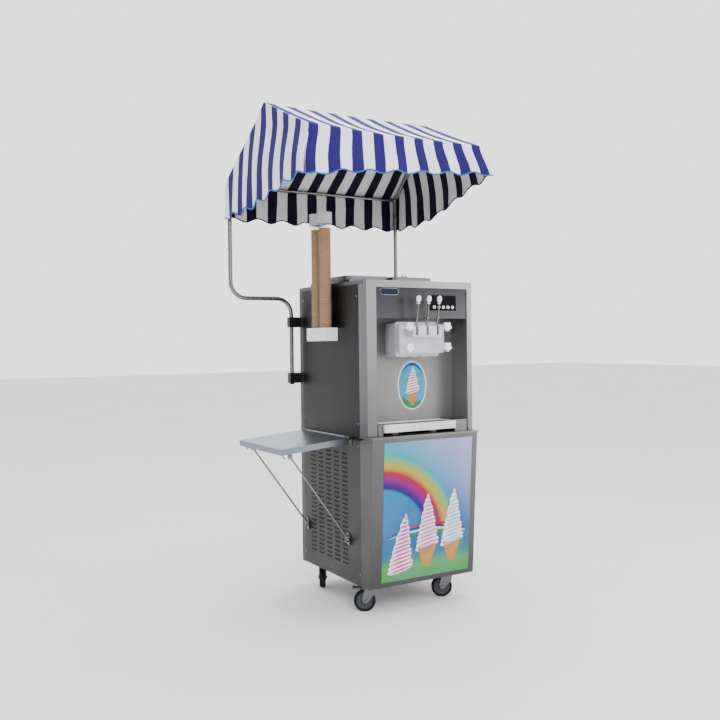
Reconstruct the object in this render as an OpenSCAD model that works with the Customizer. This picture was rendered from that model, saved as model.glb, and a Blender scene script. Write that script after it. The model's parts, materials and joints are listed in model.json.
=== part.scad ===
// Floor-standing soft serve machine on casters, with a folding side shelf, a cone dispenser
// and a striped canopy on a tube frame. Millimetres, +Z up, front towards -Y.
// Modules are drawn from the cabinet's front left corner at floor level, X to the right and
// Y to the rear; placed() then moves them so that the origin is the footprint's centre.

/* [Cabinet] */
// Width of the cabinet
body_w = 550; // [520:5:580]
// Depth of the cabinet
body_d = 620; // [600:5:660]
// Height of the upper body's top above the floor
body_h = 1422; // [1400:2:1440]
// Height of the serving ledge above the floor
ledge_z = 762; // [750:1:775]
// Height of the cabinet's underside above the floor
base_z = 116; // [110:1:122]
// How far the ledge stands out in front of the upper body
ledge_out = 38; // [25:1:50]
// Thickness of the sheet panels
sheet = 3; // [2:0.5:4]

/* [Serving recess] */
// Width of each front post
post_w = 48; // [40:1:55]
// Depth of the recess behind the front frame
recess_d = 118; // [100:1:130]
// Height of the control panel
panel_h = 132; // [125:1:140]
// Height of the trim band above the control panel
band_h = 30; // [24:1:34]

/* [Dispensing head] */
// Width of the dispensing head
head_w = 230; // [220:2:250]
// Height of the dispensing head
head_h = 150; // [140:2:160]
// Left face of the head from the cabinet's left side
head_x = 160; // [150:1:170]
// Spacing of the three draw levers
lever_pitch = 54; // [50:1:58]
// Travel of a push button
button_travel = 1.5; // [1:0.1:2]

/* [Side shelf] */
// Depth of the shelf away from the cabinet
shelf_d = 330; // [300:5:350]
// Length of the shelf along the cabinet
shelf_l = 440; // [400:5:450]
// Downward slope of the open shelf, degrees
shelf_tilt = 5; // [3:0.5:7]

/* [Cone dispenser] */
// Outer diameter of each cone tube
cone_tube_d = 60; // [56:1:64]
// Spacing of the two cone tubes
cone_pitch = 73; // [70:1:78]
// Height of the cone tubes
cone_tube_h = 480; // [440:2:490]

/* [Canopy] */
// Diameter of the post tubes
tube_d = 20; // [18:1:22]
// Diameter of the hood's bars
bar_d = 16; // [14:1:18]
// Height of the ridge bar above the floor
ridge_z = 2150; // [2120:5:2180]
// Thickness of the canopy's solid
cloth_t = 6; // [5:1:8]

/* [Casters] */
// Diameter of the caster wheels
wheel_d = 94; // [88:1:96]
// Tread width of the caster wheels
wheel_w = 26; // [22:1:30]

/* [Hidden] */
$fn = 48;

// gaps between pieces
slack = 0.4;
run_fit = 0.05;

// heights of the upper body
deck_z = body_h - 12;
deck_y0 = 26 + slack;
panel_top = body_h - band_h;
panel_low = panel_top - panel_h;
sill_z = ledge_z + 8;

// canopy frame
post_y = body_d + 14;
left_low_x = -38;
left_high_x = -345;
right_x = 560;
step_z = 1372;
bend_r = 75;
post_foot_z = 968;
bar_z = 1884;
ridge_y = 250;
front_y = -125;
front_z = 1985;
// ends of the ridge and front bars, set in from the posts
hood_x = [-318, 500];
cloth_gap = 4;

// canopy outline in side view, from the front hem over the ridge to the rear hem
cloth_o = bar_d / 2 + cloth_gap + cloth_t;
canopy_x0 = left_high_x - tube_d / 2 - cloth_gap - cloth_t;
canopy_x1 = right_x + tube_d / 2 + cloth_gap + cloth_t;
canopy_y0 = front_y - cloth_o - 12;
canopy_y1 = post_y + tube_d / 2 + cloth_gap + cloth_t;
hem_front_z = 1850;
hem_side_z = 1800;
hem_rear_z = 1732;

// the footprint's centre, which becomes the origin
centre_x = (canopy_x0 + canopy_x1) / 2;
centre_y = (canopy_y0 + canopy_y1) / 2;

// dispensing head
head_y0 = 4;
head_z0 = 1096;
head_top = head_z0 + head_h;
lever_x = [for (i = [0:2]) head_x + head_w / 2 + (i - 1) * lever_pitch];
bridge_y = -50;
bridge_low = head_top - 66;
bridge_top = head_top - 18;
pivot_y = -34;
pivot_z = head_top - 40;
pivot_r = 4;
knob_y = -63;
knob_z = head_top + 98;

// shelf
hinge_x = -10;
hinge_z = 748;
hinge_r = 4;
shelf_y0 = 131;
shelf_t = 3;
shelf_lip = 26;
strut_r = 4;
strut_x = -300;
strut_drop = 40;
foot_x = -14;
foot_z = 304;
strut_y = [shelf_y0 + 12, shelf_y0 + shelf_l - 44];

// casters: place of each swivel and the way its wheel trails
caster = [[62, 88, 149], [body_w - 82, 84, 149], [72, body_d - 70, 238], [body_w - 70, body_d - 70, 200]];
trail = 30;
fork_top = base_z - 3 - slack;
axle_r = 4.5;

module placed() {
    translate([-centre_x, -centre_y, 0]) children();
}

// a box given by its low and high corners
module span(low, high) {
    translate(low) cube(high - low);
}

// a round bar from one point to another
module bar(a, b, r) {
    v = b - a;
    len = norm(v);
    tilt = acos(v[2] / len);
    turn = atan2(v[1], v[0]);
    translate(a) rotate([0, tilt, turn]) cylinder(h = len, r = r);
}

// a quarter bend in the XZ plane about a centre, from one angle over a sweep
module bend_xz(c, radius, from, sweep, r) {
    translate(c) rotate([90, 0, 0])
        rotate_extrude(angle = sweep, start = from, $fn = 96) translate([radius, 0]) circle(r = r);
}

// a rounded box in plan, standing on its low corner
module round_box(low, high, r) {
    s = high - low;
    translate(low) linear_extrude(s[2]) {
        translate([r, 0]) square([s[0] - 2 * r, s[1]]);
        translate([0, r]) square([s[0], s[1] - 2 * r]);
        for (x = [r, s[0] - r], y = [r, s[1] - r]) translate([x, y]) circle(r = r);
    }
}

module base_frame() {
    color("dimgray") placed() {
        difference() {
            span([4, 12, base_z], [body_w - 4, body_d - 4, base_z + 30]);
            span([34, 34, base_z + 3], [body_w - 34, body_d - 34, base_z + 31]);
            for (y = [150, 300, 450]) translate([body_w / 2, y, base_z - 1]) cylinder(h = 6, r = 22);
        }
        for (c = caster) difference() {
            translate([c[0] - 42, c[1] - 42, base_z - 3]) cube([84, 84, 3]);
            translate([c[0], c[1], base_z - 4]) cylinder(h = 5, r = 5);
        }
    }
}

module hopper_cut(x) {
    span([x, 250, deck_z - 40], [x + 200, 510, body_h + 40]);
}

module top_panel() {
    color("silver") placed() difference() {
        union() {
            span([0, deck_y0, deck_z - sheet], [body_w, body_d, deck_z]);
            span([30, 190, deck_z], [body_w - 30, body_d - 60, body_h + 16]);
            span([0, deck_y0, deck_z], [8, body_d, body_h]);
            span([body_w - 8, deck_y0, deck_z], [body_w, body_d, body_h]);
            span([8, body_d - 8, deck_z], [body_w - 8, body_d, body_h]);
        }
        hopper_cut(55);
        hopper_cut(body_w - 255);
    }
}

hopper_deep = 175;

// open hopper tanks under the lids, each with an outlet in its floor
module hoppers() {
    color("lightgray") placed() for (x = [55, body_w - 255]) difference() {
        union() {
            span([x + 1, 251, deck_z - hopper_deep], [x + 199, 509, body_h + 16]);
            span([x - 8, 242, body_h + 16], [x + 208, 518, body_h + 20]);
        }
        span([x + 4, 254, deck_z - hopper_deep + 3], [x + 196, 506, body_h + 40]);
        translate([x + 100, 300, deck_z - hopper_deep - 1]) cylinder(h = 20, r = 16);
    }
}

module lid(x) {
    color("white") placed() difference() {
        union() {
            round_box([x - 12, 238, body_h + 20 + slack], [x + 212, 522, body_h + 36], 26);
            round_box([x + 60, 340, body_h + 36], [x + 140, 420, body_h + 44], 14);
        }
        round_box([x - 6, 244, body_h + 20], [x + 206, 516, body_h + 32], 22);
    }
}

// side panels: the upper ones are plain, the lower ones carry columns of louvre slots
louvre_cols = 5;
louvre_rows = 25;
louvre_pitch_y = 74;
louvre_pitch_z = 20;

module louvre_slots(x) {
    for (c = [0:louvre_cols - 1], r = [0:louvre_rows - 1])
        translate([x - 1, 178 + c * louvre_pitch_y, 190 + r * louvre_pitch_z])
            cube([sheet + 2, 46, 7]);
}

module side_left_upper() {
    color("dimgray") placed() span([0, 66, ledge_z - 20 + slack], [sheet, body_d - 34, deck_z - sheet - slack]);
}

module side_left_lower() {
    color("dimgray") placed() difference() {
        span([0, 66, base_z + 2], [sheet, body_d - 34, ledge_z - 20 - slack]);
        louvre_slots(0);
    }
}

module side_right() {
    color("dimgray") placed() difference() {
        span([body_w - sheet, 66, base_z + 2], [body_w, body_d - 34, deck_z - sheet - slack]);
        louvre_slots(body_w - sheet);
    }
}

module rear_panel() {
    color("dimgray") placed() difference() {
        span([34, body_d - sheet, base_z + 2], [body_w - 34, body_d, deck_z - sheet - slack]);
        for (r = [0:13]) span([90, body_d - sheet - 1, 200 + r * 26], [body_w - 90, body_d + 1, 210 + r * 26]);
    }
}

// folded corner strips at the rear edges
module corner_trims() {
    color([0.16, 0.16, 0.18]) placed() for (side = [0, 1]) {
        x0 = side == 0 ? 0 : body_w - 34;
        wall_x = side == 0 ? 0 : body_w - 4;
        span([x0, body_d - 4, base_z], [x0 + 34 - slack, body_d, deck_z - sheet - slack]);
        span([wall_x, body_d - 34 + slack, base_z], [wall_x + 4, body_d, deck_z - sheet - slack]);
    }
}

// bright front frame: folded side posts that wrap round the corners, and the top band
module front_frame() {
    color("silver") placed() {
        difference() {
            span([0, 0, ledge_z + slack], [body_w, 26, body_h]);
            span([post_w, -1, ledge_z - 1], [body_w - 26, 27, panel_top]);
            span([sheet, sheet, ledge_z - 1], [body_w - sheet, 27, body_h - sheet]);
        }
        span([0, 26, ledge_z + slack], [sheet, 66 - slack, deck_z - sheet - slack]);
        span([body_w - sheet, 26, ledge_z + slack], [body_w, 66 - slack, deck_z - sheet - slack]);
    }
}

// back wall and side walls of the serving recess, with the head's mounting hole
module recess_liner() {
    color("gainsboro") placed() difference() {
        span([post_w - sheet, sheet, sill_z], [body_w - 26 + sheet, recess_d + sheet, panel_top]);
        span([post_w, 0, sill_z - 1], [body_w - 26, recess_d, panel_top + 1]);
        for (x = [head_x + 60, head_x + head_w - 60])
            translate([x, recess_d - 1, head_z0 + 75]) rotate([-90, 0, 0]) cylinder(h = sheet + 2, r = 51);
    }
}

module control_panel() {
    color("gray") placed() difference() {
        span([post_w + slack, 4, panel_low], [body_w - 26 - slack, 12, panel_top - slack]);
        span([display_x0, 3, display_z0], [display_x1, 13, display_z1]);
    }
}

display_x0 = 325;
display_x1 = 464;
display_z0 = 1296;
display_z1 = 1362;
button_z = 1310;
button_r = 6;
button_x = [for (i = [0:4]) 346 + i * 24.5];

module display_bezel() {
    color([0.03, 0.03, 0.035]) placed() difference() {
        round_box_front([display_x0 + slack, 0, display_z0 + slack], [display_x1 - slack, 11, display_z1 - slack], 4);
        for (x = button_x) translate([x, -1, button_z]) rotate([-90, 0, 0]) cylinder(h = 13, r = button_r + 0.2);
        span([display_x0 + 14, -1, button_z + 16], [display_x1 - 14, 1.5, display_z1 - 12]);
    }
}

// a rounded box whose rounded corners show from the front
module round_box_front(low, high, r) {
    s = high - low;
    translate([low[0], high[1], low[2]]) rotate([90, 0, 0]) linear_extrude(s[1]) {
        translate([r, 0]) square([s[0] - 2 * r, s[2]]);
        translate([0, r]) square([s[0], s[2] - 2 * r]);
        for (x = [r, s[0] - r], y = [r, s[2] - r]) translate([x, y]) circle(r = r);
    }
}

// a push button: its cap stands proud by its travel and a little more
module button(i) {
    color("white") placed() translate([button_x[i], -button_travel - 1, button_z]) rotate([-90, 0, 0])
        cylinder(h = 9, r = button_r);
}

// the white head: a block on a flange, a front plate, an upper lever bridge and three flush spouts
module dispensing_head() {
    mid_x = head_x + head_w / 2;
    color("whitesmoke") placed() difference() {
        union() {
            // back flange, block, neck and front plate
            round_box_front([head_x + 8, 89, head_z0 + 2], [head_x + head_w - 8, recess_d, head_top - 2], 8);
            round_box_front([head_x + 2, head_y0 + 26, head_z0], [head_x + head_w - 2, 90, head_top], 10);
            round_box_front([head_x + 7, head_y0 + 7, head_z0 + 20], [head_x + head_w - 7, head_y0 + 27, head_top - 16], 6);
            round_box_front([head_x - 2, head_y0 - 10, head_z0 + 14], [head_x + head_w + 2, head_y0 + 8, head_top - 11], 10);
            round_box_front([mid_x - 77, bridge_y, bridge_low], [mid_x + 77, head_y0 - 2, bridge_top], 6);
        }
        // lever slots, the cross pins' hole, the spouts' bores and the star knobs' stud holes
        for (x = lever_x) {
            span([x - 7, bridge_y - 1, bridge_low + 8], [x + 7, pivot_y + 20, bridge_top + 1]);
            translate([x, 58, head_z0 - 1]) cylinder(h = 42, r = 10);
            translate([x, 58, head_z0 - 1]) cylinder(h = 6, r = 15);
        }
        translate([mid_x - 74, pivot_y, pivot_z]) rotate([0, 90, 0]) cylinder(h = 148, r = pivot_r + run_fit);
        for (p = star_place) translate([p[0], -7, p[2]]) rotate([-90, 0, 0]) cylinder(h = 30, r = star_stud_r + run_fit);
    }
}

star_stud_r = 5;
star_hub = 46;
star_place = [for (z = [head_top - 22, head_z0 + 40], x = [-99, 99]) [head_x + head_w / 2 + x, 0, z]];

// a draw lever: a stem that leans forward from its cross pin, with an egg-shaped knob on top
module lever(i) {
    x = lever_x[i];
    bend = [x, -50, head_top + 16];
    tip = [x, knob_y, knob_z];
    color("silver") placed() {
        translate([x - 5, pivot_y, pivot_z]) rotate([0, 90, 0]) cylinder(h = 10, r = 9);
        bar([x, pivot_y, pivot_z], bend, 4);
        translate(bend) sphere(r = 5.2);
        bar(bend, tip, 4);
        translate([x - 18, pivot_y, pivot_z]) rotate([0, 90, 0]) cylinder(h = 36, r = pivot_r);
        translate(tip) sphere(r = 10);
        translate(tip + [0, 1, -8]) sphere(r = 8.5);
    }
}

// a hand nut with five lobes, a long hub and a stud that turns in the head
module star_knob(i) {
    p = star_place[i];
    color("white") placed() translate([p[0], 0, p[2]]) rotate([90, 0, 0]) {
        translate([0, 0, -16]) cylinder(h = 28, r = star_stud_r);
        translate([0, 0, 6 + slack]) cylinder(h = star_hub, r = 10);
        translate([0, 0, star_hub]) difference() {
            cylinder(h = 16, r = 20);
            for (a = [0:4]) rotate(a * 72 + 18) translate([24, 0, -1]) cylinder(h = 18, r = 9.5);
        }
    }
}

tray_x0 = 78;
tray_x1 = 452;
tray_z = ledge_z + 14;
tray_out = 12;

// pull-out drip tray
module drip_tray() {
    color("white") placed() difference() {
        round_box([tray_x0, -tray_out, tray_z], [tray_x1, recess_d - 8, tray_z + 34], 8);
        round_box([tray_x0 + 4, -tray_out + 4, tray_z + 4], [tray_x1 - 4, recess_d - 12, tray_z + 36], 6);
    }
}

// thin ledge over the lower cabinet, with a folded front lip, rests and side guides for the tray
module front_ledge() {
    color("silver") placed() difference() {
        union() {
            span([-2, -ledge_out, ledge_z - 10], [body_w + 2, 66 - slack, ledge_z]);
            span([4, 0, ledge_z - 10], [body_w - 4, recess_d + 20, ledge_z]);
            for (x = [150, 350]) span([x, 44, ledge_z - 1], [x + 30, recess_d - 10, tray_z]);
            // guides on both sides of the tray
            span([post_w + 5, 2, ledge_z - 1], [tray_x0 - 1.5, recess_d - 5, tray_z + 36]);
            span([tray_x1 + 1.5, 2, ledge_z - 1], [body_w - 31, recess_d - 5, tray_z + 36]);
        }
        span([2, -ledge_out + 3, ledge_z - 11], [body_w - 2, recess_d + 17, ledge_z - 3]);
    }
}

// leaning lower front: its top stands out, its foot is set back
foot_y = 6;
module leaning(x0, x1, z0, z1, front, thick) {
    function lean_y(z) = foot_y - (foot_y + ledge_out - 3) * (z - base_z) / (ledge_z - 12 - base_z);
    translate([x0, 0, 0]) rotate([90, 0, 90]) linear_extrude(x1 - x0) polygon([
        [lean_y(z0) - front, z0], [lean_y(z0) - front + thick, z0],
        [lean_y(z1) - front + thick, z1], [lean_y(z1) - front, z1]]);
}

module front_panel() {
    color("gray") placed() {
        leaning(1, body_w - 1, base_z + 1, ledge_z - 10 - slack, 0, sheet);
        for (x = [0, body_w - sheet]) translate([x, 0, 0]) rotate([90, 0, 90]) linear_extrude(sheet)
            polygon([[foot_y, base_z + 1], [66 - slack, base_z + 1], [66 - slack, ledge_z - 20],
                     [20, ledge_z - 10 - slack], [-ledge_out + 4, ledge_z - 10 - slack]]);
    }
}

module graphic_panel() {
    color("skyblue") placed() leaning(60, body_w - 30, base_z + 22, ledge_z - 26, 1, 1);
}

// everything on the shelf is drawn level, from the hinge, and tilted about it
module on_shelf() {
    translate([hinge_x, 0, hinge_z]) rotate([0, -shelf_tilt, 0]) children();
}

module shelf() {
    knuckle = 40;
    y1 = shelf_y0 + shelf_l;
    color("lightslategray") placed() on_shelf() {
        difference() {
            union() {
                span([-shelf_d, shelf_y0, -shelf_lip + shelf_t], [-8.3, y1, shelf_t]);
                span([-10, shelf_y0 + knuckle + 1, -6], [0, y1 - knuckle - 1, shelf_t]);
                translate([0, shelf_y0 + knuckle + 1, 0]) rotate([-90, 0, 0])
                    cylinder(h = shelf_l - 2 * knuckle - 2, r = hinge_r + 3.5);
            }
            span([-shelf_d + 2, shelf_y0 + 2, -shelf_lip], [-6, y1 - 2, 0]);
            translate([0, shelf_y0, 0]) rotate([-90, 0, 0]) cylinder(h = shelf_l, r = hinge_r + run_fit);
        }
        // hook eyes under the outer corners
        for (y = strut_y) difference() {
            span([strut_x - hinge_x - 10, y - 11, -strut_drop - 2], [strut_x - hinge_x + 10, y - 6.5, 1]);
            translate([strut_x - hinge_x, y - 20, -strut_drop + 10]) rotate([-90, 0, 0])
                cylinder(h = 20, r = strut_r + run_fit);
        }
    }
}

// wall rail that carries the shelf's hinge pin
module shelf_rail() {
    knuckle = 40;
    y1 = shelf_y0 + shelf_l;
    color("darkgray") placed() {
        span([-2, shelf_y0, hinge_z - 30], [0, y1, hinge_z + 8]);
        for (y = [shelf_y0, y1 - knuckle]) {
            translate([hinge_x, y, hinge_z]) rotate([-90, 0, 0]) cylinder(h = knuckle, r = hinge_r + 3.5);
            span([hinge_x, y, hinge_z - 5], [-1, y + knuckle, hinge_z + 5]);
        }
        translate([hinge_x, shelf_y0, hinge_z]) rotate([-90, 0, 0]) cylinder(h = shelf_l, r = hinge_r);
    }
}

// wire stays: a top pin in the shelf's eye, a straight run and a foot pin in the wall clip
strut_top_local = [strut_x - hinge_x, 0, -strut_drop + 10];
strut_top = [
    hinge_x + strut_top_local[0] * cos(shelf_tilt) - strut_top_local[2] * sin(shelf_tilt), 0,
    hinge_z + strut_top_local[0] * sin(shelf_tilt) + strut_top_local[2] * cos(shelf_tilt)];

module struts() {
    color("silver") placed() for (y = strut_y) {
        top = [strut_top[0], y, strut_top[2]];
        foot = [foot_x, y, foot_z];
        bar(top, foot, strut_r);
        translate(top) sphere(r = strut_r);
        translate(foot) sphere(r = strut_r);
        bar([top[0], y - 16, top[2]], top, strut_r);
        bar(foot, [foot[0], y + 22, foot[2]], strut_r);
    }
}

// wall clips, open outwards and upwards, that the feet of the stays rest in
module strut_clips() {
    r = strut_r + 0.3;
    color("silver") placed() for (y = strut_y) {
        span([foot_x + r, y + 8, foot_z - 22], [0, y + 24, foot_z + 14]);
        span([foot_x - 8, y + 8, foot_z - r - 4], [foot_x + r + 1, y + 24, foot_z - r]);
    }
}

// cone dispenser
cone_x = -37;
cone_y = 327;
cone_z0 = 1168;
cone_z1 = 1226;
cone_ty = [cone_y - cone_pitch / 2, cone_y + cone_pitch / 2];

module cone_base() {
    color("white") placed() difference() {
        round_box([-72, cone_y - 82, cone_z0], [0, cone_y + 82, cone_z1], 4);
        for (y = cone_ty) {
            translate([cone_x, y, cone_z0 + 12]) cylinder(h = 60, r = cone_tube_d / 2 + 0.1);
            translate([cone_x, y, cone_z0 - 1]) rotate(22.5) cylinder(h = 20, r = cone_tube_d / 2 - 4, $fn = 8);
        }
    }
}

module cone_tubes() {
    color([0.9, 0.9, 0.9, 0.4]) placed() for (y = cone_ty) translate([cone_x, y, cone_z0 + 12.2]) difference() {
        cylinder(h = cone_tube_h + 45, r = cone_tube_d / 2);
        translate([0, 0, -1]) cylinder(h = cone_tube_h + 48, r = cone_tube_d / 2 - 2);
    }
}

// nested wafer cups: each shows a flared rim above the next
wafer_n = 38;
wafer_pitch = 12.8;
module wafer_stack() {
    rim = cone_tube_d / 2 - 3.2;
    teeth = [for (i = [0:wafer_n - 1], k = [0, 1]) k == 0
        ? [rim - 3.4, i * wafer_pitch] : [rim, i * wafer_pitch + wafer_pitch * 0.8]];
    color("burlywood") placed() for (y = cone_ty) translate([cone_x, y, cone_z0 + 12]) rotate_extrude()
        polygon(concat([[0, 0]], teeth, [[0, wafer_n * wafer_pitch]]));
}

// clear two-lobed cap over both tubes
cap_z0 = cone_z1 + cone_tube_h - 20;
module cone_cap() {
    r = cone_tube_d / 2;
    color([0.92, 0.92, 0.92, 0.7]) placed() difference() {
        union() {
            for (y = cone_ty) translate([cone_x, y, cap_z0]) cylinder(h = 50, r = r + 4);
            span([cone_x - 14, cone_ty[0], cap_z0], [cone_x + 14, cone_ty[1], cap_z0 + 50]);
        }
        for (y = cone_ty) translate([cone_x, y, cap_z0 - 1]) cylinder(h = 47, r = r + 0.4);
    }
}

// canopy posts and hood
module left_post() {
    r = tube_d / 2;
    inner = r - 1.5;
    z_low = step_z - bend_r;
    color("darkgray") placed() {
        bar([left_low_x, post_y, post_foot_z], [left_low_x, post_y, z_low], r);
        bend_xz([left_low_x - bend_r, post_y, z_low], bend_r, 0, 90, r);
        bar([left_low_x - bend_r, post_y, step_z], [left_high_x + bend_r, post_y, step_z], r);
        bend_xz([left_high_x + bend_r, post_y, step_z + bend_r], bend_r, 180, 90, r);
        bar([left_high_x, post_y, step_z + bend_r], [left_high_x, post_y, bar_z + 6], r);
    }
}

module right_post() {
    color("darkgray") placed() bar([right_x, post_y, post_foot_z], [right_x, post_y, bar_z + 6], tube_d / 2);
}

module hood_frame() {
    r = bar_d / 2;
    color("darkgray") placed() difference() {
        union() {
            bar([left_high_x, post_y, bar_z], [right_x, post_y, bar_z], r);
            bar([hood_x[0], ridge_y, ridge_z], [hood_x[1], ridge_y, ridge_z], r);
            bar([hood_x[0], front_y, front_z], [hood_x[1], front_y, front_z], r);
            for (i = [0, 1]) {
                bar([[left_high_x, right_x][i], post_y, bar_z], [hood_x[i], ridge_y, ridge_z], r);
                bar([hood_x[i], ridge_y, ridge_z], [hood_x[i], front_y, front_z], r);
                translate([hood_x[i], ridge_y, ridge_z]) sphere(r = r + 2);
                translate([hood_x[i], front_y, front_z]) sphere(r = r + 2);
                translate([[left_high_x, right_x][i], post_y, bar_z]) sphere(r = r + 4);
            }
        }
        for (x = [left_high_x, right_x])
            translate([x, post_y, bar_z - 30]) cylinder(h = 30 + 6 + run_fit, r = tube_d / 2 + run_fit);
    }
}

clamp_z = [994, 1260];
module post_clamps() {
    color([0.12, 0.12, 0.12]) placed() for (z = clamp_z) {
        difference() {
            span([left_low_x - 15, body_d + slack, z - 24], [26, post_y + 16, z + 24]);
            translate([left_low_x, post_y, z - 25]) cylinder(h = 50, r = tube_d / 2 + run_fit);
        }
        difference() {
            span([right_x - 40, body_d + slack, z - 24], [right_x + 16, post_y + 16, z + 24]);
            translate([right_x, post_y, z - 25]) cylinder(h = 50, r = tube_d / 2 + run_fit);
        }
    }
}

// the canopy: a hollow hood, open below, with a short front and longer sides and rear
function hood_line(o, low) = [
    [front_y - o - 12, low], [front_y - o, front_z + 2], [front_y - o + 6, front_z + o - 4],
    [ridge_y - 24, ridge_z + o - 9], [ridge_y, ridge_z + o], [ridge_y + 20, ridge_z + o - 8],
    [post_y - 60, bar_z + 60 + o], [post_y + tube_d / 2 - bar_d / 2 + o, bar_z + 10],
    [post_y + tube_d / 2 - bar_d / 2 + o, low]];

// the same hood seen from the front: its sides lean in above the hem
function hood_front(g) = [
    [canopy_x0 + g, hem_rear_z - 2], [canopy_x0 + g, bar_z + 16], [hood_x[0] - cloth_o + g, ridge_z],
    [hood_x[0] - cloth_o + g, ridge_z + cloth_o + 2], [hood_x[1] + cloth_o - g, ridge_z + cloth_o + 2],
    [hood_x[1] + cloth_o - g, ridge_z], [canopy_x1 - g, bar_z + 16], [canopy_x1 - g, hem_rear_z - 2]];

module hood_solid(o, low, g) {
    intersection() {
        translate([canopy_x0 - 1, 0, 0]) rotate([90, 0, 90])
            linear_extrude(canopy_x1 - canopy_x0 + 2) polygon(hood_line(o, low));
        translate([0, canopy_y1 + 1, 0]) rotate([90, 0, 0])
            linear_extrude(canopy_y1 - canopy_y0 + 2) polygon(hood_front(g));
    }
}

module canopy() {
    color([0.35, 0.35, 0.7]) placed() difference() {
        hood_solid(cloth_o, hem_rear_z, 0);
        hood_solid(cloth_o - cloth_t, hem_rear_z - 1, cloth_t);
        // the hem rises along the sides and steps up at the front
        translate([canopy_x0 - 1, 0, 0]) rotate([90, 0, 90]) linear_extrude(canopy_x1 - canopy_x0 + 2)
            polygon([[post_y - 130, hem_rear_z - 1], [front_y + 45, hem_side_z], [front_y - 5, hem_front_z],
                     [front_y - 60, hem_front_z], [front_y - 60, hem_rear_z - 1]]);
    }
}

// inner works
cyl_z = head_z0 + 75;
cyl_x = [head_x + 60, head_x + head_w - 60];
cyl_y0 = recess_d + sheet;

module freezing_unit() {
    color("silver") placed() for (x = cyl_x) {
        difference() {
            union() {
                translate([x, cyl_y0, cyl_z]) rotate([-90, 0, 0]) cylinder(h = 330, r = 54);
                translate([x, cyl_y0 + 330, cyl_z]) rotate([-90, 0, 0]) cylinder(h = 90, r = 36);
            }
            translate([x, cyl_y0 - 1, cyl_z]) rotate([-90, 0, 0]) cylinder(h = 321, r = 44);
            translate([x, cyl_y0 + 310, cyl_z]) rotate([-90, 0, 0]) cylinder(h = 30, r = 8 + run_fit);
        }
    }
}

// a beater: shaft, two end rings and four scraper bars
module beater(i) {
    color("silver") placed() translate([cyl_x[i], cyl_y0 + 4, cyl_z]) rotate([-90, 0, 0]) {
        translate([0, 0, 0]) cylinder(h = 330, r = 8);
        for (z = [6, 150, 300]) translate([0, 0, z]) cylinder(h = 8, r = 41);
        for (a = [0:3]) rotate(a * 90 + 20) translate([36, -3, 6]) cube([6, 6, 300]);
    }
}

module compressor() {
    color([0.1, 0.1, 0.1]) placed() {
        translate([155, 400, base_z + 15]) cylinder(h = 150, r = 75);
        translate([155, 400, base_z + 165]) scale([1, 1, 0.4]) sphere(r = 75);
        for (a = [0:2]) translate([155, 400, base_z + 3]) rotate(a * 120) translate([50, -14, 0]) cube([40, 28, 13]);
    }
}

module condenser() {
    color("gray") placed() difference() {
        union() {
            span([300, 150, base_z + 3], [514, 240, base_z + 290]);
        }
        translate([410, 200, base_z + 160]) rotate([-90, 0, 0]) cylinder(h = 41, r = 102);
        for (i = [0:16]) span([306 + i * 12.4, 149, base_z + 42], [310 + i * 12.4, 180, base_z + 280]);
        translate([410, 185, base_z + 160]) rotate([-90, 0, 0]) cylinder(h = 16, r = 5 + run_fit);
    }
}

module fan() {
    color("black") placed() translate([410, 202, base_z + 160]) rotate([-90, 0, 0]) {
        translate([0, 0, -14]) cylinder(h = 20, r = 5);
        cylinder(h = 26, r = 26);
        for (a = [0:4]) rotate(a * 72) translate([20, -16, 13]) rotate([24, 0, 0]) translate([0, 0, -2]) cube([72, 34, 3]);
    }
}

// casters
module at_caster(i) {
    translate([caster[i][0], caster[i][1], 0]) rotate(caster[i][2]) children();
}

module fork(i) {
    wr = wheel_d / 2;
    cheek = wheel_w / 2 + 1.5;
    color("gray") placed() at_caster(i) difference() {
        union() {
            translate([0, 0, fork_top - 6]) cylinder(h = 6, r = 27);
            translate([0, 0, fork_top - 1]) cylinder(h = 4, r = 5 - run_fit);
            for (s = [-1, 1]) translate([0, s * (cheek + 1.5) + 1.5, 0]) rotate([90, 0, 0])
                linear_extrude(3) polygon([[-18, fork_top - 4], [27, fork_top - 4], [trail + 12, wr + 6],
                    [trail + 8, wr - 10], [trail - 8, wr - 10], [-14, wr + 30]]);
            span([-18, -cheek - 3, fork_top - 9], [27, cheek + 3, fork_top - 5]);
        }
        translate([trail, -30, wr]) rotate([-90, 0, 0]) cylinder(h = 60, r = axle_r + run_fit);
        if (i < 2) translate([pedal_x, -30, pedal_z]) rotate([-90, 0, 0]) cylinder(h = 60, r = 2.5 + run_fit);
    }
}

module wheel(i) {
    wr = wheel_d / 2;
    color("dimgray") placed() at_caster(i) translate([trail, 0, wr]) rotate([-90, 0, 0]) {
        w = wheel_w / 2;
        rotate_extrude($fn = 72) polygon([[axle_r, -w], [14, -w], [16, 4 - w], [wr - 11, 4 - w], [wr - 9, -w],
            [wr - 4, -w], [wr, 5 - w], [wr, w - 5], [wr - 4, w], [wr - 9, w], [wr - 11, w - 4], [16, w - 4],
            [14, w], [axle_r, w]]);
        translate([0, 0, -w - 4.5]) cylinder(h = 2 * w + 9, r = axle_r);
    }
}

// foot brake: a pedal on a cross pin in the fork, with a wide pad beyond the cheeks
pedal_x = 22;
pedal_z = 99;
module pedal(i) {
    half = wheel_w / 2;
    color("silver") placed() at_caster(i) {
        translate([pedal_x, -half - 4, pedal_z]) rotate([-90, 0, 0]) cylinder(h = 2 * half + 8, r = 2.5);
        span([pedal_x - 1, -half, pedal_z - 1], [40, half, pedal_z + 2]);
        translate([38, -half - 8, pedal_z - 1]) rotate([0, -6, 0]) cube([44, 2 * half + 16, 3]);
    }
}

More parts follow.
